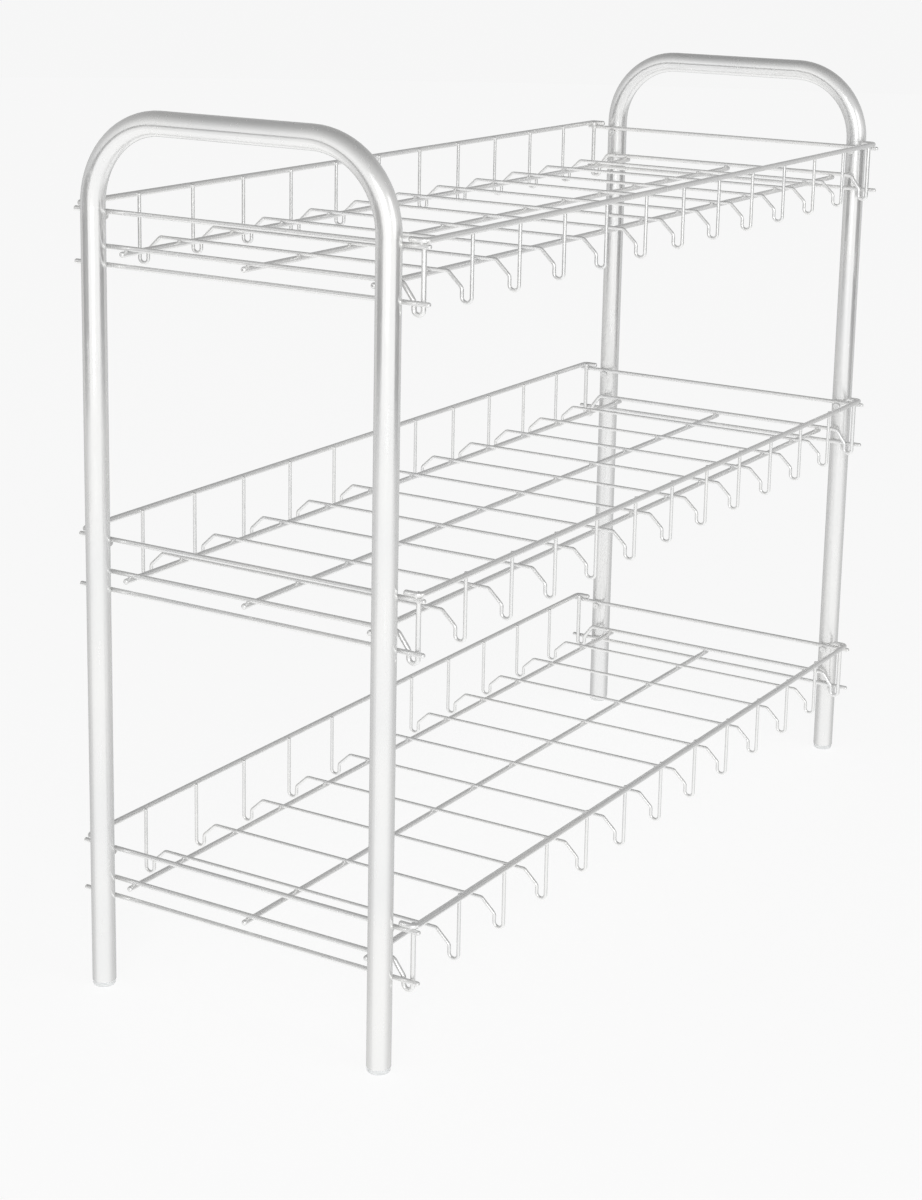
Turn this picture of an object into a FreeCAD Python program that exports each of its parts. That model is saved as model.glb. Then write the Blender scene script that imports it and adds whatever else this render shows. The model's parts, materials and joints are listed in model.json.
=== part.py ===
import FreeCAD, Part
import math
import os
import Sketcher

# A three-tier wire shoe rack: two bent-tube side frames carry three identical welded wire trays.
# X runs along the rack, Y from front (-) to back (+), Z up from the floor, all in millimetres.

os.makedirs("parts", exist_ok=True)
doc = FreeCAD.newDocument("shoe_rack")
sheet = doc.addObject("Spreadsheet::Sheet", "dims")

DIMENSIONS = [
    ("rack_length", 900, "over the two side frames"),
    ("rack_depth", 336, "over the ends of the end wires"),
    ("rack_height", 740, "floor to the top of the handles"),
    ("tube_diameter", 20, "side frame tube, outside"),
    ("tube_wall", 1.2, "side frame tube wall"),
    ("leg_spacing", 278, "between the two leg axes of one side frame"),
    ("handle_bend", 68, "bend radius of the tube's centre line"),
    ("foot_diameter", 19, "flange of the foot cap"),
    ("foot_flange", 4.5, "flange height, which is how far the tube stands off the floor"),
    ("foot_rounding", 1.6, "rounded lower edge of the foot"),
    ("foot_plug_gap", 0.1, "between the foot's plug and the bore of the tube"),
    ("foot_plug_length", 12, "length of the plug inside the tube"),
    ("first_tier", 119, "floor to the upper end wire of the lowest tray"),
    ("tier_pitch", 268.5, "from one tray to the next"),
    ("rail_wire", 4.8, "diameter of the long rails"),
    ("end_wire", 4, "diameter of the wires at a tray's ends"),
    ("cross_wire", 3, "diameter of the cross wires"),
    ("cut_rounding", 0.35, "rounding of a cut wire end as a share of the wire's diameter"),
    ("end_wire_drop", 42.7, "from the upper end wire down to the lower one"),
    ("floor_rail_drop", 33, "from the upper end wire down to the floor rails"),
    ("floor_rail_length", 862, "length of a floor rail"),
    ("outer_rail_offset", 119, "from the middle floor rail to the outer ones"),
    ("top_rail_offset", 163.8, "from the middle of the tray to a top rail"),
    ("top_rail_bend", 4.2, "bend radius at a top rail's ends"),
    ("top_rail_tip", 149, "from the middle of the tray to the tip of a returned end"),
    ("cross_count", 11, "cross wires in one tray"),
    ("cross_top", 5.5, "tip of a cross wire above the upper end wire"),
    ("cross_bottom", 52, "from the upper end wire down to the bottom of every hook"),
    ("hook_inner", 151.2, "from the middle of the tray to the inner leg of every hook"),
    ("cross_knee", 41, "from the upper end wire down to the lower end of the slope"),
    ("cross_floor", 138.5, "half length of the level run"),
    ("cross_bend", 4.2, "bend radius of a cross wire"),
    ("floor_wire_apex", 141, "half length of the floor end wire's level run"),
    ("floor_wire_bend", 6, "bend radius at the two ends of its slope"),
    ("hook_knee", 42, "from the upper end wire down to the lower end of that wire's slope"),
    ("hook_bend", 4, "bend radius of the hook under the lower end wire"),
    ("upright_top", 5.9, "tip of the corner upright above the upper end wire"),
    ("pin_diameter", 3.9, "shank of a support pin"),
    ("pin_hole", 4, "hole for it in the tube"),
    ("pin_head", 6.6, "diameter of the pin's head"),
    ("pin_head_height", 1.6, "height of the head"),
    ("pin_head_chamfer", 0.5, "chamfered rim of the head"),
    ("pin_dimple", 2.2, "diameter of the dimple in the head"),
    ("pin_dimple_depth", 1, "depth of the dimple"),
    ("pin_flare", 6, "diameter of the set end inside the tube"),
    ("pin_flare_start", 2.1, "from the face of the tube to the flare"),
    ("pin_flare_length", 1.4, "length of the flare"),
]
for row, (name, number, note) in enumerate(DIMENSIONS, start=1):
    sheet.set(f"A{row}", name)
    sheet.set(f"B{row}", str(number))
    sheet.set(f"C{row}", note)
    sheet.setAlias(f"B{row}", name)
doc.recompute()

# Distances that follow from the sheet, as expressions.
TUBE_RADIUS = "dims.tube_diameter / 2"
BORE_RADIUS = "(dims.tube_diameter / 2 - dims.tube_wall)"
LEG_X = "(dims.rack_length / 2 - dims.tube_diameter / 2)"
LEG_Y = "dims.leg_spacing / 2"
LEG_FACE_X = "(dims.rack_length / 2 - dims.tube_diameter)"
END_WIRE_X = "(dims.rack_length / 2 - dims.tube_diameter - dims.end_wire / 2)"
HANDLE_Z = "(dims.rack_height - dims.tube_diameter / 2)"
RAIL_RADIUS = "dims.rail_wire / 2"
END_RADIUS = "dims.end_wire / 2"
HOOK_WIRE_X = f"({END_WIRE_X} - dims.end_wire)"
HOOK_OUTER_Y = "(dims.top_rail_offset - dims.rail_wire / 2 - dims.end_wire / 2)"
HOOK_WIRE_Z = "-(dims.floor_rail_drop - dims.rail_wire / 2 - dims.end_wire / 2)"
# The returned end of a top rail touches the corner upright; its bend rests on the end wire.
RAIL_RETURN_X = f"({END_WIRE_X} + dims.rail_wire / 2 - dims.end_wire / 2)"
TOP_RAIL_Z = "(dims.rail_wire / 2 + dims.end_wire / 2)"
CROSS_RADIUS = "dims.cross_wire / 2"
FLOOR_WIRE_Z = "-(dims.floor_rail_drop - dims.rail_wire / 2 - dims.cross_wire / 2)"
CROSS_OUTER_Y = "(dims.top_rail_offset - dims.rail_wire / 2 - dims.cross_wire / 2)"
CROSS_PITCH = f"2 * {END_WIRE_X} / (dims.cross_count + 1)"
PIN_DROP = "(dims.end_wire / 2 + dims.pin_diameter / 2)"
TIERS = [("bottom", 0), ("middle", 1), ("top", 2)]
SIDES = [("left", -1), ("right", 1)]


def value(expression):
    """The number that an expression gives with the sheet's present values."""
    return float(sheet.evalExpression(expression))


def tier_height(level):
    """Height of the upper end wire of one tray."""
    return f"(dims.first_tier + {level} * dims.tier_pitch)"


def new_body(label):
    """A body that may hold several separate solids of one kind."""
    body = doc.addObject("PartDesign::Body", label)
    body.Label = label
    body.AllowCompound = True
    return body


def origin_feature(body, role):
    """One of the body's own base planes or axes."""
    return next(item for item in body.Origin.OriginFeatures if item.Role == role)


def attach(feature, body, role, offsets):
    """Lay a feature on a base plane; offsets maps x, y or z of that plane to an expression."""
    feature.AttachmentSupport = [(origin_feature(body, role), "")]
    feature.MapMode = "FlatFace"
    for axis, expression in offsets.items():
        feature.setExpression(f".AttachmentOffset.Base.{axis}", expression)


def place(body, offsets, half_turn=False):
    """Move a body to its place; half_turn faces it the other way along X and Y."""
    if half_turn:
        body.Placement.Rotation = FreeCAD.Rotation(FreeCAD.Vector(0, 0, 1), 180)
    for axis, expression in offsets.items():
        body.setExpression(f".Placement.Base.{axis}", expression)


def add_cylinder(body, role, offsets, radius, length):
    """A cylinder that rises from one of the body's base planes."""
    cylinder = body.newObject("PartDesign::AdditiveCylinder", "cylinder")
    attach(cylinder, body, role, offsets)
    cylinder.setExpression("Radius", radius)
    cylinder.setExpression("Height", length)
    return cylinder


def round_flat_ends(body, base, radius):
    """Round the rims of every flat circular end that the feature has."""
    doc.recompute()
    rims = []
    for face in base.Shape.Faces:
        if isinstance(face.Surface, Part.Plane) and len(face.Edges) == 1:
            for number, edge in enumerate(base.Shape.Edges, start=1):
                if edge.isSame(face.Edges[0]):
                    rims.append(f"Edge{number}")
    fillet = body.newObject("PartDesign::Fillet", "rounding")
    fillet.Base = (base, rims)
    fillet.setExpression("Radius", radius)
    return fillet


def repeat(body, kind, settings):
    """Repeat all that the body holds so far with a mirror or a pattern."""
    feature = body.newObject(f"PartDesign::{kind}", kind.lower())
    feature.TransformMode = "Whole shape"
    for name, setting in settings.items():
        setattr(feature, name, setting)
    body.Tip = feature
    return feature


def repeat_at_corners(body, spacing):
    """Copy what stands in the back right corner to the other three, always facing the middle."""
    across_row = {"Direction": (origin_feature(body, "Y_Axis"), [""]), "Reversed": True, "Occurrences": 2}
    pair = repeat(body, "LinearPattern", across_row)
    pair.setExpression("Length", spacing)
    half_turn = {"Axis": (origin_feature(body, "Z_Axis"), [""]), "Angle": 180, "Occurrences": 2}
    repeat(body, "PolarPattern", half_turn)


def name_constraint(sketch, constraint, expression, name):
    """Add a dimension to a sketch and bind it to the sheet."""
    index = sketch.addConstraint(constraint)
    sketch.renameConstraint(index, name)
    sketch.setExpression(f"Constraints.{name}", expression)


def pin_point(sketch, point, position, name):
    """Fix a point of a sketch at a position given by two expressions."""
    for axis, expression in zip(("X", "Y"), position):
        size = value(expression)
        constraint = Sketcher.Constraint(f"Distance{axis}", -1, 1, point[0], point[1], size)
        name_constraint(sketch, constraint, expression, f"{name}_{axis.lower()}")


def near_end(sketch, curve, position):
    """The number of the curve's end that lies nearest a position."""
    return min((1, 2), key=lambda end: sketch.getPoint(curve, end).distanceToPoint(position))


def join_tangent(sketch, first, second, position):
    """Make two curves that both end at a position meet there tangentially."""
    ends = [near_end(sketch, curve, position) for curve in (first, second)]
    sketch.addConstraint(Sketcher.Constraint("Tangent", first, ends[0], second, ends[1]))


def across(direction):
    """The direction a quarter turn to the left."""
    return FreeCAD.Vector(-direction.y, direction.x, 0)


def add_bend(sketch, before, start, direction, turn, radius, name):
    """Add an arc that leaves a curve tangentially at start and turns left by a signed angle."""
    bend = value(radius)
    side = math.copysign(1, turn)
    centre = start + across(direction) * side * bend
    first = math.atan2(start.y - centre.y, start.x - centre.x)
    circle = Part.Circle(centre, FreeCAD.Vector(0, 0, 1), bend)
    arc = sketch.addGeometry(Part.ArcOfCircle(circle, *sorted((first, first + turn))), False)
    join_tangent(sketch, before, arc, start)
    name_constraint(sketch, Sketcher.Constraint("Radius", arc, bend), radius, f"{name}_radius")
    return arc


def bent_route(body, plane, corners, bends):
    """A sketch of straight runs between corners, joined by tangent bends."""
    sketch = body.newObject("Sketcher::SketchObject", "route")
    attach(sketch, body, plane, {})
    points = [FreeCAD.Vector(value(first), value(second), 0) for first, second in corners]
    steps = [(after - before).normalize() for before, after in zip(points, points[1:])]
    turns = [before.getAngle(after) * math.copysign(1, before.cross(after).z)
             for before, after in zip(steps, steps[1:])]
    insets = [value(bend) * math.tan(abs(turn) / 2) for bend, turn in zip(bends, turns)]
    insets = [0.0, *insets, 0.0]
    starts = [point + step * inset for point, step, inset in zip(points, steps, insets)]
    ends = [point - step * inset for point, step, inset in zip(points[1:], steps, insets[1:])]
    runs = [sketch.addGeometry(Part.LineSegment(*pair), False) for pair in zip(starts, ends)]
    for index, (bend, turn) in enumerate(zip(bends, turns)):
        arc = add_bend(sketch, runs[index], ends[index], steps[index], turn, bend, f"bend_{index}")
        join_tangent(sketch, arc, runs[index + 1], starts[index + 1])
    for index, corner in enumerate(corners):
        mark = sketch.addGeometry(Part.Point(points[index]), True)
        pin_point(sketch, (mark, 1), corner, f"corner_{index}")
        if index == 0:
            sketch.addConstraint(Sketcher.Constraint("Coincident", mark, 1, runs[0], 1))
        elif index < len(runs):
            sketch.addConstraint(Sketcher.Constraint("PointOnObject", mark, 1, runs[index - 1]))
            sketch.addConstraint(Sketcher.Constraint("PointOnObject", mark, 1, runs[index]))
        else:
            sketch.addConstraint(Sketcher.Constraint("Coincident", mark, 1, runs[-1], 2))
    return sketch


def bent_body(label, plane, corners, bends, radii):
    """Wire or tube bent in one plane, made as one half and mirrored in the middle.

    The first corner lies on the middle plane; radii are those of the section's circles.
    """
    middle = {"YZ_Plane": "XZ_Plane", "XY_Plane": "YZ_Plane"}[plane]
    shift = {"YZ_Plane": "y", "XY_Plane": "x"}[plane]
    body = new_body(label)
    route = bent_route(body, plane, corners, bends)
    section = body.newObject("Sketcher::SketchObject", "section")
    attach(section, body, middle, {shift: corners[0][1]})
    for index, radius in enumerate(radii):
        circle = Part.Circle(FreeCAD.Vector(0, 0, 0), FreeCAD.Vector(0, 0, 1), value(radius))
        number = section.addGeometry(circle, False)
        section.addConstraint(Sketcher.Constraint("Coincident", number, 3, -1, 1))
        size = Sketcher.Constraint("Radius", number, value(radius))
        name_constraint(section, size, radius, f"radius_{index}")
    pipe = body.newObject("PartDesign::AdditivePipe", "pipe")
    pipe.Profile = section
    pipe.Spine = route
    doc.recompute()
    repeat(body, "Mirrored", {"MirrorPlane": (origin_feature(body, middle), [""])})
    return body


def side_frame(side, sign):
    """A tube bent to an upside-down U, with a hole for every support pin in its inner wall."""
    corners = [("0", HANDLE_Z), (LEG_Y, HANDLE_Z), (LEG_Y, "dims.foot_flange")]
    body = bent_body(f"{side}_side_frame", "YZ_Plane", corners, ["dims.handle_bend"],
                     [TUBE_RADIUS, BORE_RADIUS])
    holes = body.newObject("Sketcher::SketchObject", "pin_holes")
    attach(holes, body, "YZ_Plane", {})
    for level in range(len(TIERS)):
        for edge in (-1, 1):
            centre = (f"{edge} * {LEG_Y}", f"{tier_height(level)} - {PIN_DROP}")
            spot = FreeCAD.Vector(value(centre[0]), value(centre[1]), 0)
            circle = Part.Circle(spot, FreeCAD.Vector(0, 0, 1), value("dims.pin_hole / 2"))
            number = holes.addGeometry(circle, False)
            name = f"hole_{holes.GeometryCount}"
            pin_point(holes, (number, 3), centre, name)
            size = Sketcher.Constraint("Radius", number, value("dims.pin_hole / 2"))
            name_constraint(holes, size, "dims.pin_hole / 2", f"{name}_radius")
    pocket = body.newObject("PartDesign::Pocket", "pocket")
    pocket.Profile = holes
    pocket.Type = "ThroughAll"
    place(body, {"x": f"{sign} * {LEG_X}"}, half_turn=sign < 0)
    return body


def foot(label, across_sign, along_sign):
    """A cap with a rounded flange under the tube and a plug inside it."""
    body = new_body(label)
    flange = add_cylinder(body, "XY_Plane", {}, "dims.foot_diameter / 2", "dims.foot_flange")
    doc.recompute()
    rounding = body.newObject("PartDesign::Fillet", "rounding")
    rounding.Base = (flange, [lowest_edge(flange.Shape)])
    rounding.setExpression("Radius", "dims.foot_rounding")
    plug_radius = f"{BORE_RADIUS} - dims.foot_plug_gap"
    add_cylinder(body, "XY_Plane", {}, plug_radius, "dims.foot_flange + dims.foot_plug_length")
    place(body, {"x": f"{along_sign} * {LEG_X}", "y": f"{across_sign} * {LEG_Y}"})
    return body


def lowest_edge(shape):
    """The name of the closed edge that lies lowest."""
    closed = [(edge.CenterOfMass.z, number) for number, edge in enumerate(shape.Edges, start=1)
              if edge.isClosed()]
    return f"Edge{min(closed)[1]}"


def straight_wire(label, plane, wire, length, place_at):
    """A straight wire with rounded cut ends, centred on its place."""
    body = new_body(label)
    cylinder = add_cylinder(body, plane, {"z": f"-({length}) / 2"}, f"{wire} / 2", length)
    round_flat_ends(body, cylinder, f"dims.cut_rounding * {wire}")
    place(body, place_at)
    return body


def support_pins(tray, height):
    """Four headed pins through the legs' inner walls, which carry the tray's upper end wires."""
    body = new_body(f"{tray}_support_pins")
    outline = body.newObject("Sketcher::SketchObject", "outline")
    attach(outline, body, "XY_Plane", {"y": LEG_Y, "z": f"-{PIN_DROP}"})
    seat = f"({LEG_FACE_X} - dims.end_wire)"
    face = f"({seat} - dims.pin_head_height)"
    flare = f"({LEG_FACE_X} + dims.pin_flare_start)"
    tail = f"({flare} + dims.pin_flare_length)"
    corners = [
        (f"{face} + dims.pin_dimple_depth", "0"),
        (face, "dims.pin_dimple / 2"),
        (face, "dims.pin_head / 2 - dims.pin_head_chamfer"),
        (f"{face} + dims.pin_head_chamfer", "dims.pin_head / 2"),
        (seat, "dims.pin_head / 2"),
        (seat, "dims.pin_diameter / 2"),
        (flare, "dims.pin_diameter / 2"),
        (tail, "dims.pin_flare / 2"),
        (tail, "0"),
    ]
    points = [FreeCAD.Vector(value(first), value(second), 0) for first, second in corners]
    count = len(points)
    for index, point in enumerate(points):
        outline.addGeometry(Part.LineSegment(point, points[(index + 1) % count]), False)
    for index, corner in enumerate(corners):
        outline.addConstraint(Sketcher.Constraint("Coincident", (index - 1) % count, 2, index, 1))
        pin_point(outline, (index, 1), corner, f"corner_{index}")
    turned = body.newObject("PartDesign::Revolution", "turned")
    turned.Profile = outline
    turned.ReferenceAxis = (outline, ["H_Axis"])
    turned.Angle = 360
    repeat_at_corners(body, "dims.leg_spacing")
    place(body, {"z": height})
    return body


def cross_wires(tray, height):
    """The thin wires of one tray: floor, hook and upright side are one bent piece each."""
    corners = [
        ("0", FLOOR_WIRE_Z),
        ("dims.cross_floor", FLOOR_WIRE_Z),
        ("dims.hook_inner", "-dims.cross_knee"),
        ("dims.hook_inner", "-dims.cross_bottom"),
        (CROSS_OUTER_Y, "-dims.cross_bottom"),
        (CROSS_OUTER_Y, "dims.cross_top"),
    ]
    body = bent_body(f"{tray}_cross_wires", "YZ_Plane", corners, ["dims.cross_bend"] * 4, [CROSS_RADIUS])
    round_flat_ends(body, body.Tip, "dims.cut_rounding * dims.cross_wire")
    row = repeat(body, "LinearPattern", {"Direction": (origin_feature(body, "X_Axis"), [""])})
    row.setExpression("Length", f"{CROSS_PITCH} * (dims.cross_count - 1)")
    row.setExpression("Occurrences", "dims.cross_count")
    place(body, {"x": f"{CROSS_PITCH} - {END_WIRE_X}", "z": height})
    return body


def floor_end_wire(label, sign, height):
    """The wire under the end of a tray's floor: it hooks under the lower end wire, then stands up
    as the corner upright, at the front and at the back.
    """
    corners = [
        ("0", HOOK_WIRE_Z),
        ("dims.floor_wire_apex", HOOK_WIRE_Z),
        ("dims.hook_inner", "-dims.hook_knee"),
        ("dims.hook_inner", "-dims.cross_bottom"),
        (HOOK_OUTER_Y, "-dims.cross_bottom"),
        (HOOK_OUTER_Y, "dims.upright_top"),
    ]
    bends = ["dims.floor_wire_bend"] * 2 + ["dims.hook_bend"] * 2
    body = bent_body(label, "YZ_Plane", corners, bends, [END_RADIUS])
    round_flat_ends(body, body.Tip, "dims.cut_rounding * dims.end_wire")
    place(body, {"x": f"{sign} * {HOOK_WIRE_X}", "z": height})
    return body


def top_rail(label, sign, height):
    """A long rail with both ends returned over the upper end wires."""
    corners = [
        ("0", "dims.top_rail_offset"),
        (RAIL_RETURN_X, "dims.top_rail_offset"),
        (RAIL_RETURN_X, "dims.top_rail_tip"),
    ]
    body = bent_body(label, "XY_Plane", corners, ["dims.top_rail_bend"], [RAIL_RADIUS])
    round_flat_ends(body, body.Tip, "dims.cut_rounding * dims.rail_wire")
    place(body, {"z": f"{height} + {TOP_RAIL_Z}"}, half_turn=sign < 0)
    return body


def tray(name, level):
    """All the wires of one tray, and the pins that carry it."""
    height = tier_height(level)
    parts = [support_pins(name, height), cross_wires(name, height)]
    for row, sign in (("front", -1), ("centre", 0), ("back", 1)):
        at = {"y": f"{sign} * dims.outer_rail_offset", "z": f"{height} - dims.floor_rail_drop"}
        label = f"{name}_{row}_floor_rail"
        parts.append(straight_wire(label, "YZ_Plane", "dims.rail_wire", "dims.floor_rail_length", at))
    for row, sign in (("front", -1), ("back", 1)):
        parts.append(top_rail(f"{name}_{row}_top_rail", sign, height))
    for side, sign in SIDES:
        end_x = f"{sign} * {END_WIRE_X}"
        for row, drop in (("upper", "0"), ("lower", "dims.end_wire_drop")):
            at = {"x": end_x, "z": f"{height} - {drop}"}
            label = f"{name}_{side}_{row}_end_wire"
            parts.append(straight_wire(label, "XZ_Plane", "dims.end_wire", "dims.rack_depth", at))
        parts.append(floor_end_wire(f"{name}_{side}_floor_end_wire", sign, height))
    return parts


nodes = []
for side, sign in SIDES:
    nodes.append(side_frame(side, sign))
    for row, across_sign in (("front", -1), ("back", 1)):
        nodes.append(foot(f"{row}_{side}_foot", across_sign, sign))
for name, level in TIERS:
    nodes += tray(name, level)
doc.recompute()

for item in doc.Objects:
    if {"Invalid", "Error"} & set(item.State):
        raise RuntimeError(f"{item.Label} failed: {item.State}")
for node in nodes:
    if node.Shape.isNull() or not node.Shape.isValid():
        raise RuntimeError(f"{node.Label} has no valid shape")
    node.Shape.exportStep(f"parts/{node.Label}.step")
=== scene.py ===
import json
import math

import bmesh
import bpy
from mathutils import Matrix, Vector, noise


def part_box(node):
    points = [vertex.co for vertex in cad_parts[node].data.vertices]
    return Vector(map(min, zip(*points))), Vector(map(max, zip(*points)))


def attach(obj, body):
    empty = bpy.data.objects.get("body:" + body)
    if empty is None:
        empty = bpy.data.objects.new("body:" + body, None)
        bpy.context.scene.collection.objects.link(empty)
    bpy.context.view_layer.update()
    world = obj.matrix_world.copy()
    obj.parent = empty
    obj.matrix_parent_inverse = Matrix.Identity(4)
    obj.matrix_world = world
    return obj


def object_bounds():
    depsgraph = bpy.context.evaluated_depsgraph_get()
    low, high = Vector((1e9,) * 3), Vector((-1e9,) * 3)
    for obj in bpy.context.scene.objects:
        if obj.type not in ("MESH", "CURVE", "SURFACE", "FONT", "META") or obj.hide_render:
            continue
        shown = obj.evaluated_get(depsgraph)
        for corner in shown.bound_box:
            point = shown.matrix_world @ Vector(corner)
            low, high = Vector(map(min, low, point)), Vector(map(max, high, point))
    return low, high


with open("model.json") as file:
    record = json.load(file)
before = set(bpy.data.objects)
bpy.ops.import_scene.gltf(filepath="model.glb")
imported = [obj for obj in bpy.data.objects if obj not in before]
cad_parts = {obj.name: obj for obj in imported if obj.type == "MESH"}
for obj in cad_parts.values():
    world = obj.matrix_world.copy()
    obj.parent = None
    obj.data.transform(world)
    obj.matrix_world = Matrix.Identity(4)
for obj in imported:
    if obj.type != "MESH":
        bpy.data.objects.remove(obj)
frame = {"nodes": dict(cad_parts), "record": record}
nodes = frame["nodes"]
cad_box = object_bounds()

# Sizes are in metres, in the rack's own frame: X along the rack, Y to the back, Z up from the floor.
# Angles are in degrees, and headings turn from +X towards +Y.
TRAYS = ("bottom", "middle", "top")
SIDES = ("left", "right")
CROSS_COUNT = 11
CROSS_WIRE = 0.003
HOOK_INNER = 0.1512
ALONG_X = Vector((1, 0, 0))
ALONG_Y = Vector((0, 1, 0))
ALONG_Z = Vector((0, 0, 1))

rack_low, rack_high = cad_box
rack_centre = (rack_low + rack_high) / 2


def middle_of(node):
    """The centre of a CAD node's box."""
    low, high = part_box(node)
    return (low + high) / 2


def thickness_of(node):
    """The diameter of a straight wire: the smallest side of its box."""
    low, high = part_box(node)
    return min(high - low)


def new_object(name, mesh, material):
    """Turns a bmesh into an object of the scene with one material."""
    data = bpy.data.meshes.new(name)
    mesh.to_mesh(data)
    mesh.free()
    data.materials.append(material)
    piece = bpy.data.objects.new(name, data)
    bpy.context.scene.collection.objects.link(piece)
    return piece


# ---------------------------------------------------------------- shader nodes


def new_material(name):
    """An empty node material: its tree, its shader and its object coordinates."""
    material = bpy.data.materials.new(name)
    material.use_nodes = True
    tree = material.node_tree
    shader = tree.nodes["Principled BSDF"]
    place = tree.nodes.new("ShaderNodeTexCoord").outputs["Object"]
    return material, tree, shader, place


def add_mapping(tree, place, **amounts):
    """Moves or stretches coordinates by a Location or a Scale."""
    node = tree.nodes.new("ShaderNodeMapping")
    tree.links.new(place, node.inputs["Vector"])
    for name, amount in amounts.items():
        node.inputs[name].default_value = amount
    return node.outputs["Vector"]


def add_noise(tree, place, scale, detail):
    """A noise field over the object; scale is in waves per metre."""
    field = tree.nodes.new("ShaderNodeTexNoise")
    field.inputs["Scale"].default_value = scale
    field.inputs["Detail"].default_value = detail
    tree.links.new(place, field.inputs["Vector"])
    return field.outputs["Fac"]


def add_map(tree, value, source, target=(0.0, 1.0)):
    """Maps a value from one span to another, clamped."""
    node = tree.nodes.new("ShaderNodeMapRange")
    tree.links.new(value, node.inputs["Value"])
    for name, number in zip(("From Min", "From Max", "To Min", "To Max"), (*source, *target)):
        node.inputs[name].default_value = number
    return node.outputs["Result"]


def add_math(tree, operation, first, second):
    """One arithmetic step between two fields."""
    node = tree.nodes.new("ShaderNodeMath")
    node.operation = operation
    for socket, value in zip(node.inputs, (first, second)):
        tree.links.new(value, socket)
    return node.outputs["Value"]


def add_mix(tree, factor, colours):
    """Blends from the first colour to the second."""
    node = tree.nodes.new("ShaderNodeMix")
    node.data_type = "RGBA"
    tree.links.new(factor, node.inputs["Factor"])
    for socket, colour in zip((node.inputs[6], node.inputs[7]), colours):
        socket.default_value = (*colour, 1.0)
    return node.outputs[2]


def add_bump(tree, height, distance, strength, before=None):
    """A bump of a given height in metres, over an earlier bump if there is one."""
    node = tree.nodes.new("ShaderNodeBump")
    node.inputs["Distance"].default_value = distance
    node.inputs["Strength"].default_value = strength
    tree.links.new(height, node.inputs["Height"])
    if before is not None:
        tree.links.new(before, node.inputs["Normal"])
    return node.outputs["Normal"]


# ---------------------------------------------------------------- white enamel

# The scuffs' waves per metre along X, Y and Z make them long and upright.
ENAMEL_COLOURS = ((0.83, 0.832, 0.83), (0.87, 0.868, 0.858))
SEED_STEP = (1.0, 0.7, 0.3)
METAL_SHARE = 0.55
SCUFF_WAVES = (260.0, 260.0, 14.0)
SCUFF_DULLING = 0.14
PATCH_DULLING = 0.08
PEEL_HEIGHT = 0.00002
WAVE_HEIGHT = 0.00005
WAVE_COARSENESS = 9


def enamel(name, roughness, peel_scale, seed):
    """White baked enamel over steel: slightly uneven, with orange peel and hairline scuffs."""
    material, tree, shader, place = new_material(name)
    place = add_mapping(tree, place, Location=[seed * step for step in SEED_STEP])
    cloud = add_map(tree, add_noise(tree, place, scale=9.0, detail=4.0), source=(0.35, 0.65))
    tree.links.new(add_mix(tree, cloud, ENAMEL_COLOURS), shader.inputs["Base Color"])

    scuff = add_noise(tree, add_mapping(tree, place, Scale=SCUFF_WAVES), scale=1.0, detail=5.0)
    scuffs = add_map(tree, scuff, source=(0.58, 0.72), target=(0.0, SCUFF_DULLING))
    patch = add_noise(tree, place, scale=22.0, detail=3.0)
    patches = add_map(tree, patch, source=(0.35, 0.7), target=(roughness, roughness + PATCH_DULLING))
    tree.links.new(add_math(tree, "ADD", patches, scuffs), shader.inputs["Roughness"])

    peel = add_noise(tree, place, scale=peel_scale, detail=2.0)
    wave = add_noise(tree, place, scale=peel_scale / WAVE_COARSENESS, detail=1.0)
    peel_bump = add_bump(tree, peel, PEEL_HEIGHT, strength=0.4)
    wave_bump = add_bump(tree, wave, WAVE_HEIGHT, strength=0.5, before=peel_bump)
    tree.links.new(wave_bump, shader.inputs["Normal"])
    shader.inputs["Metallic"].default_value = METAL_SHARE
    shader.inputs["IOR"].default_value = 1.52
    shader.inputs["Coat Weight"].default_value = 0.6
    shader.inputs["Coat Roughness"].default_value = 0.06
    return material


# ---------------------------------------------------------------- foot plastic

FOOT_COLOURS = ((0.80, 0.815, 0.82), (0.88, 0.885, 0.88))
FOOT_ROUGHNESS = (0.3, 0.46)
FOOT_GRAIN_HEIGHT = 0.00004
FOOT_LIGHT_DEPTH = 0.004


def foot_plastic(name):
    """Milky soft polythene, a little clear, with flow marks and a fine matt grain."""
    material, tree, shader, place = new_material(name)
    flow = add_map(tree, add_noise(tree, place, scale=120.0, detail=3.0), source=(0.3, 0.7))
    tree.links.new(add_mix(tree, flow, FOOT_COLOURS), shader.inputs["Base Color"])
    grain = add_noise(tree, place, scale=2600.0, detail=2.0)
    matt = add_map(tree, grain, source=(0.3, 0.7), target=FOOT_ROUGHNESS)
    tree.links.new(matt, shader.inputs["Roughness"])
    tree.links.new(add_bump(tree, grain, FOOT_GRAIN_HEIGHT, strength=0.4), shader.inputs["Normal"])
    shader.inputs["IOR"].default_value = 1.51
    shader.inputs["Transmission Weight"].default_value = 0.35
    shader.inputs["Subsurface Weight"].default_value = 0.4
    shader.inputs["Subsurface Radius"].default_value = (FOOT_LIGHT_DEPTH,) * 3
    return material


MATERIALS = {
    "tube_enamel": enamel("tube_enamel", roughness=0.16, peel_scale=1500.0, seed=0.0),
    "wire_enamel": enamel("wire_enamel", roughness=0.20, peel_scale=2400.0, seed=3.1),
    "pin_enamel": enamel("pin_enamel", roughness=0.28, peel_scale=3000.0, seed=7.7),
    "foot_plastic": foot_plastic("foot_plastic"),
}
for part in frame["record"]["subparts"]:
    node = nodes[part["node"]]
    node.data.materials.clear()
    node.data.materials.append(MATERIALS[part["material_slot"]])

# ---------------------------------------------------------------- welds

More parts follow.
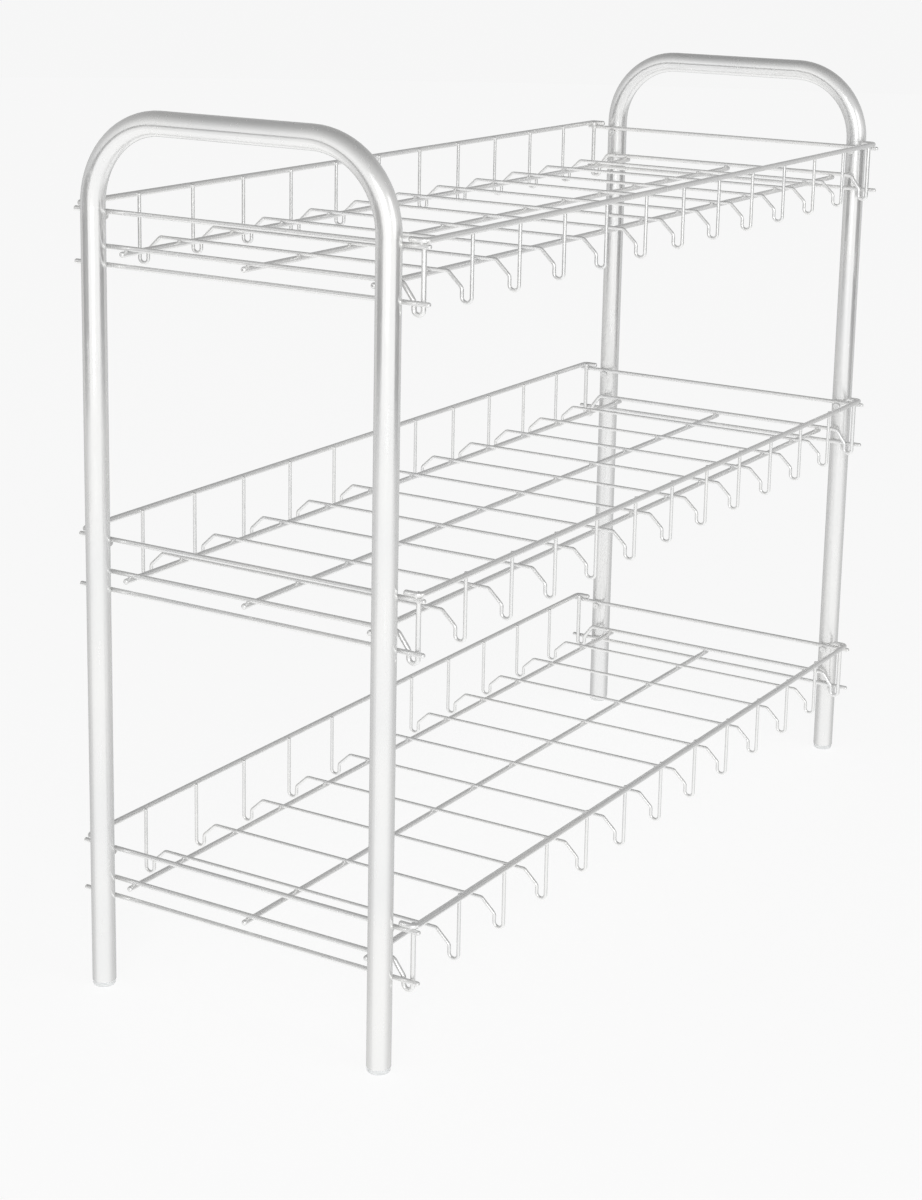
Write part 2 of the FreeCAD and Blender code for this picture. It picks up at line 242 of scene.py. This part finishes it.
# Lengths, widths and depths are measured from a bead's middle. The variety spreads the beads out in
# the noise, so that no two are alike.
BEAD_LENGTH = 0.0017
BEAD_WIDTH_SHARE = 0.85
BEAD_DEPTH = 0.0008
BEAD_UNEVENNESS = 0.16
BEAD_LUMP_SIZE = 0.6
BEAD_VARIETY = 1000.0


def add_bead(mesh, contact, normal, along):
    """A small uneven lump of fused metal at a contact: thin along normal and longest in the other way."""
    turn = Matrix((along, normal.cross(along), normal)).transposed().to_4x4()
    made = bmesh.ops.create_icosphere(mesh, subdivisions=2, radius=1.0)
    for vertex in made["verts"]:
        lump = noise.noise(vertex.co / BEAD_LUMP_SIZE + contact * BEAD_VARIETY)
        rough = 1.0 + BEAD_UNEVENNESS * lump
        length = BEAD_LENGTH * rough
        x, y, z = vertex.co
        vertex.co = (x * length, y * length * BEAD_WIDTH_SHARE, z * BEAD_DEPTH * rough)
    bmesh.ops.transform(mesh, matrix=Matrix.Translation(contact) @ turn, verts=made["verts"])


def finish_mesh(mesh, name, slot):
    """Turns a bmesh into a smooth piece that rides on the rack."""
    piece = new_object(name, mesh, MATERIALS[slot])
    for polygon in piece.data.polygons:
        polygon.use_smooth = True
    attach(piece, "root")


def add_floor_welds(mesh, tray, wire_places):
    """Welds on top of the floor rails, under the cross wires and the floor end wires."""
    for row in ("front", "centre", "back"):
        rail_node = f"{tray}_{row}_floor_rail"
        rail = middle_of(rail_node)
        top = rail.z + thickness_of(rail_node) / 2
        for x in wire_places:
            add_bead(mesh, Vector((x, rail.y, top)), ALONG_Z, ALONG_Y)


def add_corner_welds(mesh, tray, side, upright_x, outside_y):
    """Welds of one corner: upright and hook on the end wires, and the top rail's end over the upper one."""
    upper = middle_of(f"{tray}_{side}_upper_end_wire")
    lower = middle_of(f"{tray}_{side}_lower_end_wire")
    end_wire = thickness_of(f"{tray}_{side}_upper_end_wire")
    sign = math.copysign(1.0, outside_y)
    contact_x = (upright_x + upper.x) / 2
    upright_y = sign * (abs(outside_y) - end_wire / 2)
    add_bead(mesh, Vector((contact_x, upright_y, upper.z)), ALONG_X, ALONG_Z)
    add_bead(mesh, Vector((contact_x, upright_y, lower.z)), ALONG_X, ALONG_Z)
    add_bead(mesh, Vector((contact_x, sign * HOOK_INNER, lower.z)), ALONG_X, ALONG_Z)
    add_bead(mesh, Vector((upper.x, upright_y, upper.z + end_wire / 2)), ALONG_Z, ALONG_Y)


def add_weld_beads(tray):
    """The resistance welds of one tray, wherever two of its wires touch."""
    mesh = bmesh.new()
    cross_low, cross_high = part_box(f"{tray}_cross_wires")
    first = cross_low.x + CROSS_WIRE / 2
    pitch = (cross_high.x - cross_low.x - CROSS_WIRE) / (CROSS_COUNT - 1)
    cross_places = [first + pitch * index for index in range(CROSS_COUNT)]
    end_places = [middle_of(f"{tray}_{side}_floor_end_wire").x for side in SIDES]
    add_floor_welds(mesh, tray, cross_places + end_places)
    for row, sign in (("front", -1), ("back", 1)):
        rail_low, rail_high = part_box(f"{tray}_{row}_top_rail")
        rail_wire = rail_high.z - rail_low.z
        rail_z = (rail_low.z + rail_high.z) / 2
        rail_inside = sign * (max(abs(rail_low.y), abs(rail_high.y)) - rail_wire)
        for x in cross_places + end_places:
            add_bead(mesh, Vector((x, rail_inside, rail_z)), ALONG_Y, ALONG_Z)
        for side, upright_x in zip(SIDES, end_places):
            add_corner_welds(mesh, tray, side, upright_x, rail_inside)
    finish_mesh(mesh, f"{tray}_weld_beads", "wire_enamel")


for tray in TRAYS:
    add_weld_beads(tray)

# ---------------------------------------------------------------- floor, backdrop and cards

STUDIO_RADIUS = 9.0
STUDIO_HEIGHT = 12.0
STUDIO_SIDES = 96
BACKDROP_OVERLAP = 0.01
PAPER_SHADES = (1.0, 0.985)
FLOOR_TONE = 0.25
FLOOR_GLOW = 0.83
BACKDROP_GLOW = 0.925
CARD_TONE = 0.02
CARD_DISTANCE = 2.3
CARD_HEIGHT = 0.62


def glowing_paper(name, tone, glow):
    """Matt paper of an even tone that can glow, so that it stays pale without light on it."""
    material, tree, shader, place = new_material(name)
    grain = add_map(tree, add_noise(tree, place, scale=30.0, detail=6.0), source=(0.3, 0.7))
    shades = [(share * tone,) * 3 for share in PAPER_SHADES]
    tree.links.new(add_mix(tree, grain, shades), shader.inputs["Base Color"])
    shader.inputs["Roughness"].default_value = 0.95
    shader.inputs["Specular IOR Level"].default_value = 0.0
    shader.inputs["Emission Color"].default_value = (1.0, 1.0, 1.0, 1.0)
    shader.inputs["Emission Strength"].default_value = glow
    return material


def stage_piece(name, mesh, material):
    """A floor, backdrop or card of the studio, which isn't part of the rack."""
    piece = new_object(name, mesh, material)
    return piece


def dark_card(name, heading, width):
    """A black card on the floor, facing the rack's left end, which shows only in the rack's gloss."""
    mesh = bmesh.new()
    turn = Matrix.Rotation(math.radians(heading), 4, "Z")
    left_end = Vector((rack_low.x, 0.0, rack_low.z))
    edge = width / 2
    outline = ((-edge, 0.0), (edge, 0.0), (edge, CARD_HEIGHT), (-edge, CARD_HEIGHT))
    corners = [Vector((CARD_DISTANCE, across, level)) for across, level in outline]
    mesh.faces.new([mesh.verts.new(left_end + turn @ corner) for corner in corners])
    card = stage_piece(name, mesh, glowing_paper(name, CARD_TONE, glow=0.0))
    card.visible_camera = False
    card.visible_diffuse = False
    card.visible_shadow = False


floor_mesh = bmesh.new()
bmesh.ops.create_circle(floor_mesh, cap_ends=True, radius=STUDIO_RADIUS, segments=STUDIO_SIDES)
floor = stage_piece("floor", floor_mesh, glowing_paper("floor_paper", FLOOR_TONE, FLOOR_GLOW))
floor.location.z = rack_low.z
floor.visible_glossy = False

wall_mesh = bmesh.new()
bmesh.ops.create_cone(
    wall_mesh, radius1=STUDIO_RADIUS, radius2=STUDIO_RADIUS, depth=STUDIO_HEIGHT, segments=STUDIO_SIDES
)
backdrop = stage_piece("backdrop", wall_mesh, glowing_paper("backdrop_paper", 0.0, BACKDROP_GLOW))
backdrop.location.z = rack_low.z + STUDIO_HEIGHT / 2 - BACKDROP_OVERLAP
backdrop.visible_diffuse = False
backdrop.visible_glossy = False
backdrop.visible_transmission = False
backdrop.visible_shadow = False

# ---------------------------------------------------------------- light

# A fade is a span of the direction's height, or of how nearly it points at the key light.
CEILING_FADE = (0.2, 0.95)
CEILING_TONE = 0.3
KEY_HEADING = 211.0
REAR_FADE = (-0.2, 0.65)
REAR_TONE = 0.52
FRONT_TONE = 1.05
GROUND_FADE = (-0.6, -0.25)
GROUND_TONE = 1.05


def soft_surroundings(name):
    """What the gloss sees: bright near the key light and below, dimmer behind the rack and overhead."""
    world = bpy.data.worlds.new(name)
    world.use_nodes = True
    tree = world.node_tree
    direction = tree.nodes.new("ShaderNodeTexCoord").outputs["Generated"]
    split = tree.nodes.new("ShaderNodeSeparateXYZ")
    tree.links.new(direction, split.inputs["Vector"])
    ceiling = add_map(tree, split.outputs["Z"], CEILING_FADE, (1.0, CEILING_TONE))
    facing = tree.nodes.new("ShaderNodeVectorMath")
    facing.operation = "DOT_PRODUCT"
    tree.links.new(direction, facing.inputs[0])
    heading = math.radians(KEY_HEADING)
    facing.inputs[1].default_value = (math.cos(heading), math.sin(heading), 0.0)
    around = add_map(tree, facing.outputs["Value"], REAR_FADE, (REAR_TONE, FRONT_TONE))
    ground = add_map(tree, split.outputs["Z"], GROUND_FADE, (GROUND_TONE, 0.0))
    background = tree.nodes["Background"]
    background.inputs["Color"].default_value = (1.0, 1.0, 1.0, 1.0)
    above = add_math(tree, "MULTIPLY", ceiling, around)
    tree.links.new(add_math(tree, "MAXIMUM", above, ground), background.inputs["Strength"])
    bpy.context.scene.world = world


def soft_box(name, place, size, power):
    """A soft box that faces the middle of the rack and isn't seen itself; power is in watts."""
    light = bpy.data.lights.new(name, "AREA")
    light.shape = "RECTANGLE"
    light.size, light.size_y = size
    light.energy = power
    lamp = bpy.data.objects.new(name, light)
    bpy.context.scene.collection.objects.link(lamp)
    lamp.location = place
    lamp.rotation_euler = (rack_centre - Vector(place)).to_track_quat("-Z", "Y").to_euler()
    lamp.visible_camera = False


soft_surroundings("studio")
soft_box("key", place=(-3.1, -1.6, 1.2), size=(1.7, 1.9), power=22.0)
soft_box("fill", place=(-0.6, -3.0, 1.4), size=(1.3, 1.6), power=5.0)
dark_card("left_card", heading=137.0, width=2.6)
dark_card("right_card", heading=-60.0, width=2.0)

# ---------------------------------------------------------------- camera

# The tilt is downwards. The focal length is in picture heights, since the picture is taller than wide.
CAMERA_PLACE = (-1.8979, -1.0888, 0.9181)
CAMERA_HEADING = 31.27
CAMERA_TILT = 12.96
CAMERA_ROLL = 1.13
FOCAL_HEIGHTS = 2.008
CAMERA_SHIFT = -0.14
QUARTER_TURN = 90.0

camera_data = bpy.data.cameras.new("camera")
camera_data.sensor_fit = "AUTO"
camera_data.lens = camera_data.sensor_width * FOCAL_HEIGHTS
camera_data.shift_y = CAMERA_SHIFT
camera = bpy.data.objects.new("camera", camera_data)
camera.location = CAMERA_PLACE
aim = Matrix.Rotation(math.radians(CAMERA_HEADING - QUARTER_TURN), 4, "Z")
aim = aim @ Matrix.Rotation(math.radians(QUARTER_TURN - CAMERA_TILT), 4, "X")
aim = aim @ Matrix.Rotation(math.radians(CAMERA_ROLL), 4, "Z")
camera.rotation_euler = aim.to_euler()
bpy.context.scene.collection.objects.link(camera)
bpy.context.scene.camera = camera
bpy.context.scene.view_settings.view_transform = "Standard"
